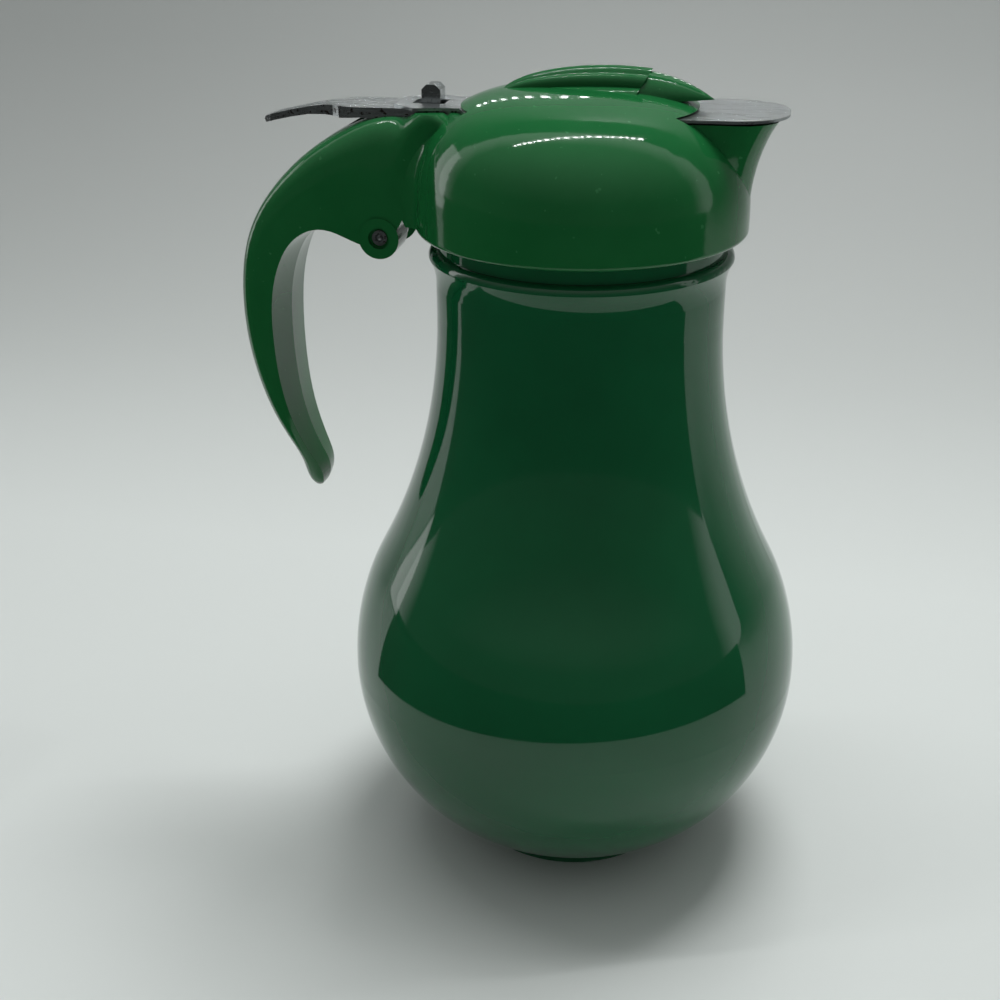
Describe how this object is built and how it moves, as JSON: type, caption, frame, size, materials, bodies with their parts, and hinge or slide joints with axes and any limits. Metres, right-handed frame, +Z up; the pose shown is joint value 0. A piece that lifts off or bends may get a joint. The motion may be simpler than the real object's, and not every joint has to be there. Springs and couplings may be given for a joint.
{
  "type": "syrup pitcher",
  "caption": "Pear-shaped glazed table pitcher under a moulded dome top with an open handle and a sprung sliding cut-off blade.",
  "frame": {"origin": "centre of the foot ring's lower face, on the jar's own axis", "axes": "+X towards the spout, -X towards the handle and thumb tongue, +Z up along the jar's axis"},
  "size_m": [0.1021, 0.084, 0.146],
  "materials": {
    "jar_glaze": "deep teal-green glaze on fired clay, glossy",
    "top_plastic": "moulded green plastic, gently polished by use",
    "blade_steel": "thin bright-plated sheet",
    "tongue_steel": "bright-plated strip",
    "lever_metal": "plated casting",
    "pin_steel": "plain rivet pin",
    "spring_steel": "drawn wire"
  },
  "bodies": {
    "pitcher": {"jar": "jar_glaze", "top": "top_plastic", "pin": "pin_steel", "spring": "spring_steel"},
    "blade": {"blade": "blade_steel", "thumb_tongue": "tongue_steel"},
    "lever": {"lever": "lever_metal"}
  },
  "joints": [
    {"name": "blade_slide", "type": "slide", "parent": "pitcher", "child": "blade", "axis": [-1, 0, 0], "range_m": [0, 0.011], "stiffness_N_per_m": 150, "springref_m": -0.004},
    {"name": "lever_pivot", "type": "hinge", "parent": "pitcher", "child": "lever", "pos_m": [-0.0332, 0, 0.1181], "axis": [0, -1, 0], "range_deg": [0, 32]}
  ],
  "couplings": [
    {"joint": "lever_pivot", "follows": "blade_slide", "rad_per_m": 48.8}
  ]
}
